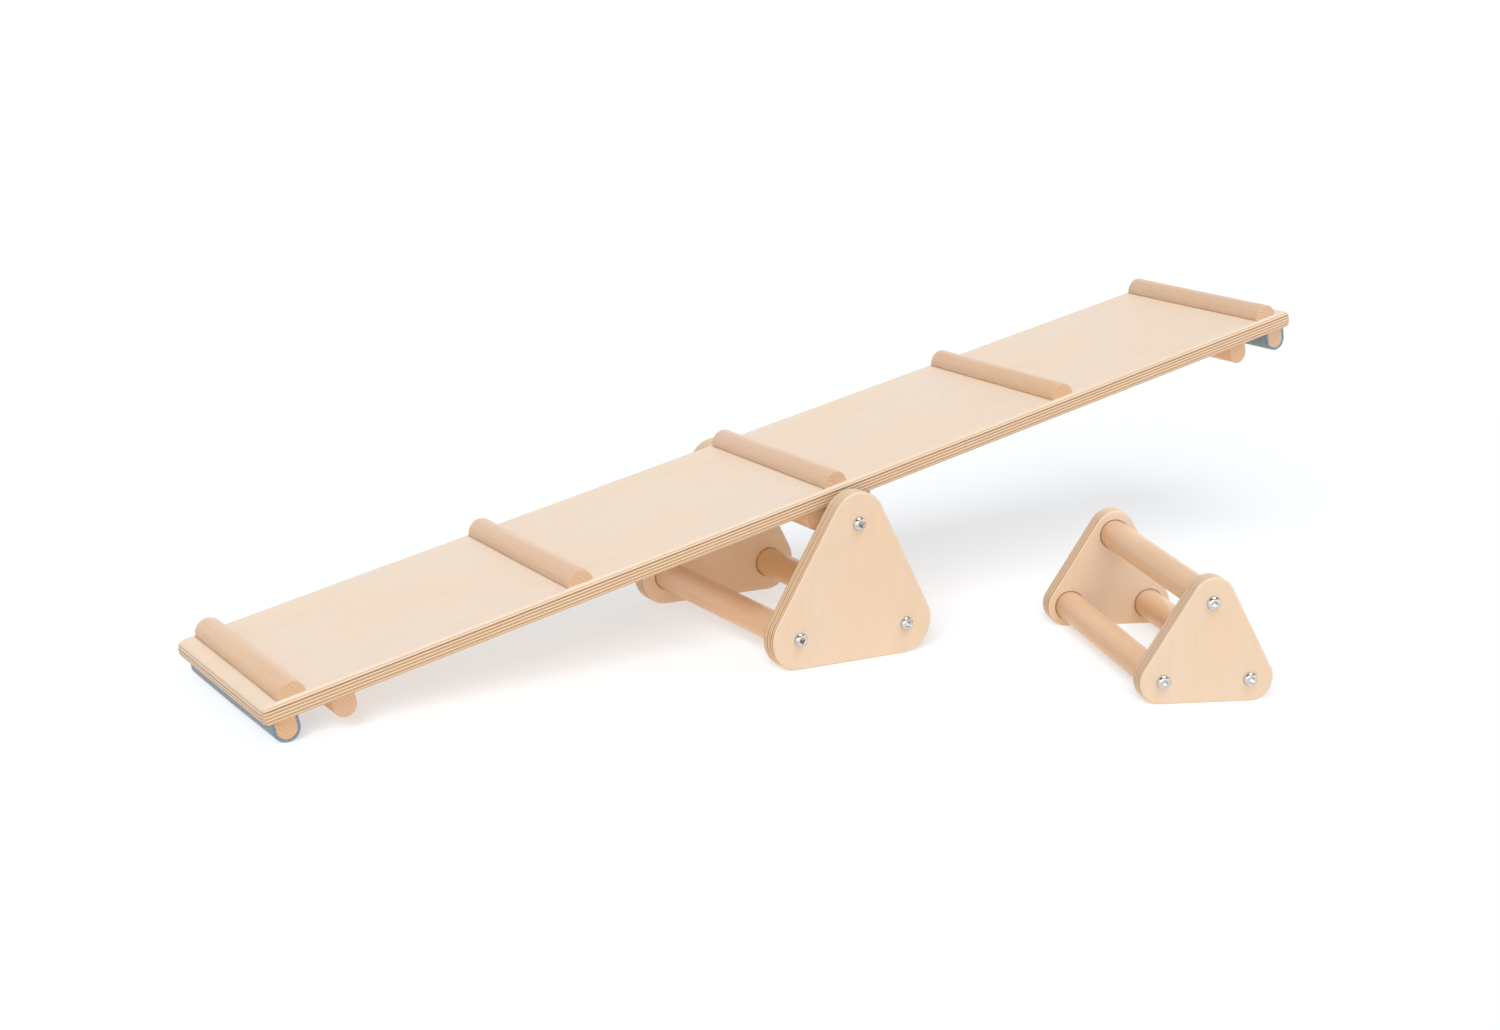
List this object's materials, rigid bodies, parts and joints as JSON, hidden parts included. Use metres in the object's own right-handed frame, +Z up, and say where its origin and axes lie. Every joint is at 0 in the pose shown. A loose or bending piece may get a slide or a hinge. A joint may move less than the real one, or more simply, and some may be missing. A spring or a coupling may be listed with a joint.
{
  "type": "seesaw",
  "caption": "Low wooden children's seesaw: a plywood plank with half-round rungs tips on a triangular dowel stand, with a lower loose stand beside it.",
  "frame": {"origin": "on the floor straight under the middle of the big stand's pivot dowel", "axes": "+X along the plank towards the raised end, +Y along the pivot dowel, +Z up"},
  "size_m": [1.1749, 0.5493, 0.3153],
  "materials": {
    "birch_plywood": "satin clear lacquer",
    "beech": "satin clear lacquer",
    "felt": "matt wool felt",
    "nickel_bolt": "bright nickel plate",
    "steel_insert": "zinc plate",
    "zinc_screw": "zinc plate"
  },
  "bodies": {
    "big_stand": {"big_plate_near": "birch_plywood", "big_plate_far": "birch_plywood", "big_pivot_dowel": "beech", "big_base_dowel_left": "beech", "big_base_dowel_right": "beech", "big_bolts_near": "nickel_bolt", "big_bolts_far": "nickel_bolt", "big_inserts_near": "steel_insert", "big_inserts_far": "steel_insert"},
    "plank": {"plank_board": "birch_plywood", "rung_1": "beech", "rung_2": "beech", "rung_3": "beech", "rung_4": "beech", "rung_5": "beech", "end_batten_left": "beech", "end_batten_right": "beech", "felt_left": "felt", "felt_right": "felt", "hook_batten_left": "beech", "hook_batten_right": "beech", "cradle_batten_left": "beech", "cradle_batten_right": "beech", "rung_screws": "zinc_screw", "end_batten_screws": "zinc_screw", "hook_batten_screws": "zinc_screw", "cradle_batten_screws": "zinc_screw"},
    "small_stand": {"small_plate_near": "birch_plywood", "small_plate_far": "birch_plywood", "small_top_dowel": "beech", "small_base_dowel_left": "beech", "small_base_dowel_right": "beech", "small_bolts_near": "nickel_bolt", "small_bolts_far": "nickel_bolt", "small_inserts_near": "steel_insert", "small_inserts_far": "steel_insert"}
  },
  "joints": [
    {"name": "plank_tilt", "type": "hinge", "parent": "big_stand", "child": "plank", "pos_m": [0, 0, 0.13925], "axis": [0, 1, 0], "range_deg": [0, 26.34]},
    {"name": "small_stand_shift", "type": "slide", "parent": "big_stand", "child": "small_stand", "axis": [0, -1, 0], "range_m": [0, 0.25]}
  ]
}
